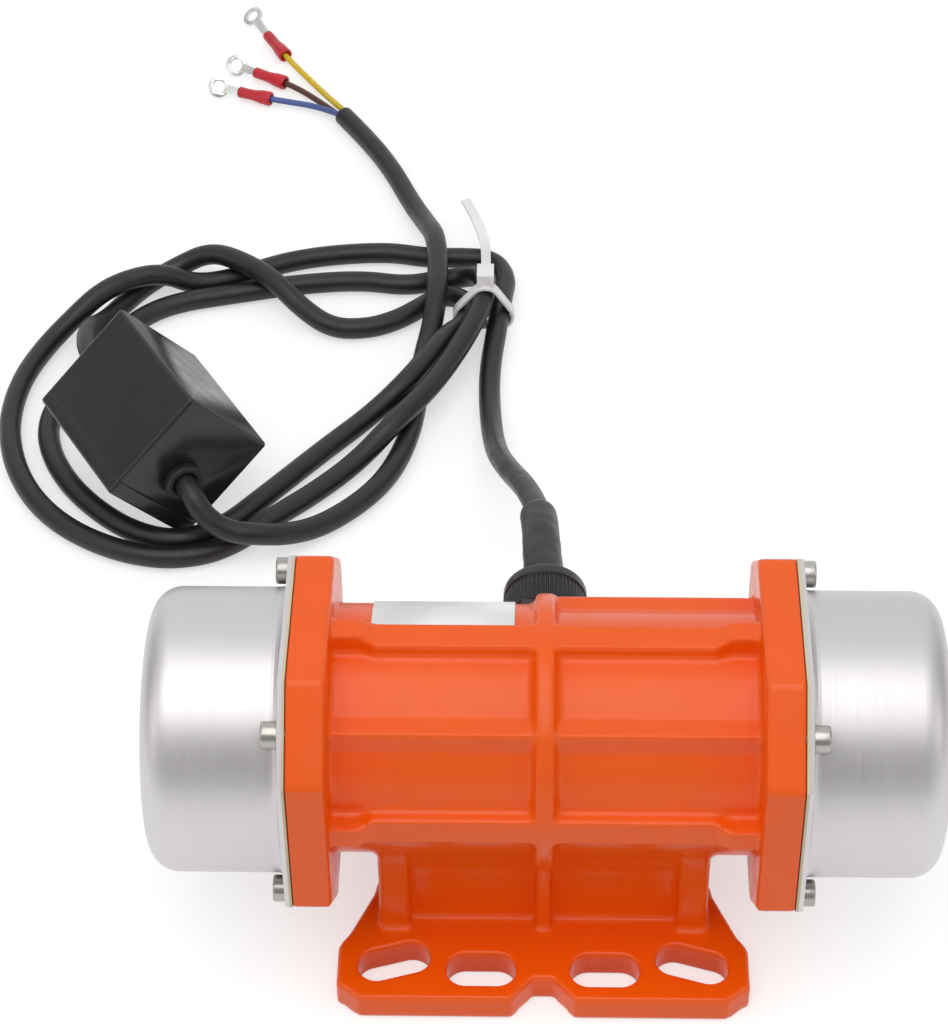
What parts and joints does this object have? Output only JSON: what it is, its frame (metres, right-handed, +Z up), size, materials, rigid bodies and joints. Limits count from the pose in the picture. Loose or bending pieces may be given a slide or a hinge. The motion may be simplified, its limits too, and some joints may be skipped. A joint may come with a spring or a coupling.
{
  "type": "rotary electric vibration motor",
  "caption": "Ribbed cast motor on a waisted slotted foot, drawn end covers over eccentric weights, coiled lead with a capacitor box and ring terminals",
  "frame": {"origin": "on the underside of the foot, straight below the middle of the shaft", "axes": "+X along the shaft, -Y towards the front with no lead, +Z up"},
  "size_m": [0.3307, 0.5583, 0.1215],
  "materials": {
    "orange_casting": "semi-gloss paint on a sand casting",
    "cover_steel": "satin drawn sheet",
    "screw_steel": "bright zinc plate",
    "gasket_cream": "matt",
    "shield_iron": "machined and cast",
    "core_steel": "stacked sheet",
    "copper": "enamelled wire",
    "bearing_steel": "polished",
    "cage_brass": "satin",
    "rotor_aluminium": "as cast",
    "shaft_steel": "ground",
    "weight_iron": "oiled",
    "plate_silver": "satin and bare",
    "gland_black": "low sheen",
    "seal_rubber": "matt",
    "lead_rubber": "matt",
    "sleeve_shrink": "slight sheen",
    "case_black": "fine texture",
    "capacitor_can": "drawn",
    "tie_white": "nylon",
    "earth_yellow": "green and yellow insulation",
    "line_brown": "insulation",
    "neutral_blue": "insulation",
    "terminal_red": "insulating sleeve",
    "terminal_tin": "tin plate"
  },
  "bodies": {
    "housing": {"motor_housing": "orange_casting", "left_cover": "cover_steel", "left_cover_gasket": "gasket_cream", "left_cover_screws": "screw_steel", "left_end_shield": "shield_iron", "left_shield_screws": "screw_steel", "left_bearing_outer_ring": "bearing_steel", "right_cover": "cover_steel", "right_cover_gasket": "gasket_cream", "right_cover_screws": "screw_steel", "right_end_shield": "shield_iron", "right_shield_screws": "screw_steel", "right_bearing_outer_ring": "bearing_steel", "preload_washer": "bearing_steel", "stator_core": "core_steel", "stator_winding": "copper", "rating_plate": "plate_silver", "gland_body": "gland_black", "gland_seal": "seal_rubber", "gland_nut": "gland_black", "strain_sleeve": "sleeve_shrink", "motor_lead": "lead_rubber", "supply_lead": "lead_rubber", "capacitor_case": "case_black", "capacitor_lid": "case_black", "lead_grommets": "seal_rubber", "run_capacitor": "capacitor_can", "cable_tie": "tie_white", "earth_core": "earth_yellow", "earth_sleeve": "terminal_red", "earth_terminal": "terminal_tin", "line_core": "line_brown", "line_sleeve": "terminal_red", "line_terminal": "terminal_tin", "neutral_core": "neutral_blue", "neutral_sleeve": "terminal_red", "neutral_terminal": "terminal_tin"},
    "rotor": {"rotor_shaft": "shaft_steel", "rotor_core": "core_steel", "rotor_cage": "rotor_aluminium", "left_bearing_inner_ring": "bearing_steel", "left_fixed_weight": "weight_iron", "left_weight_key": "shaft_steel", "left_shaft_nut": "screw_steel", "right_bearing_inner_ring": "bearing_steel", "right_fixed_weight": "weight_iron", "right_weight_key": "shaft_steel", "right_shaft_nut": "screw_steel"},
    "left_weight": {"left_adjustable_weight": "weight_iron", "left_clamp_screw": "screw_steel"},
    "left_balls": {"left_bearing_balls": "bearing_steel", "left_ball_cage": "cage_brass"},
    "right_weight": {"right_adjustable_weight": "weight_iron", "right_clamp_screw": "screw_steel"},
    "right_balls": {"right_bearing_balls": "bearing_steel", "right_ball_cage": "cage_brass"}
  },
  "joints": [
    {"name": "rotor_spin", "type": "hinge", "parent": "housing", "child": "rotor", "pos_m": [0, 0, 0.072], "axis": [1, 0, 0], "continuous": true},
    {"name": "left_ball_orbit", "type": "hinge", "parent": "housing", "child": "left_balls", "pos_m": [0, 0, 0.072], "axis": [1, 0, 0], "continuous": true},
    {"name": "left_weight_setting", "type": "hinge", "parent": "rotor", "child": "left_weight", "pos_m": [0, 0, 0.072], "axis": [1, 0, 0], "range_deg": [0, 180]},
    {"name": "right_ball_orbit", "type": "hinge", "parent": "housing", "child": "right_balls", "pos_m": [0, 0, 0.072], "axis": [1, 0, 0], "continuous": true},
    {"name": "right_weight_setting", "type": "hinge", "parent": "rotor", "child": "right_weight", "pos_m": [0, 0, 0.072], "axis": [1, 0, 0], "range_deg": [0, 180]}
  ],
  "couplings": [
    {"joint": "left_ball_orbit", "follows": "rotor_spin", "ratio": 0.3614},
    {"joint": "right_ball_orbit", "follows": "rotor_spin", "ratio": 0.3614}
  ]
}
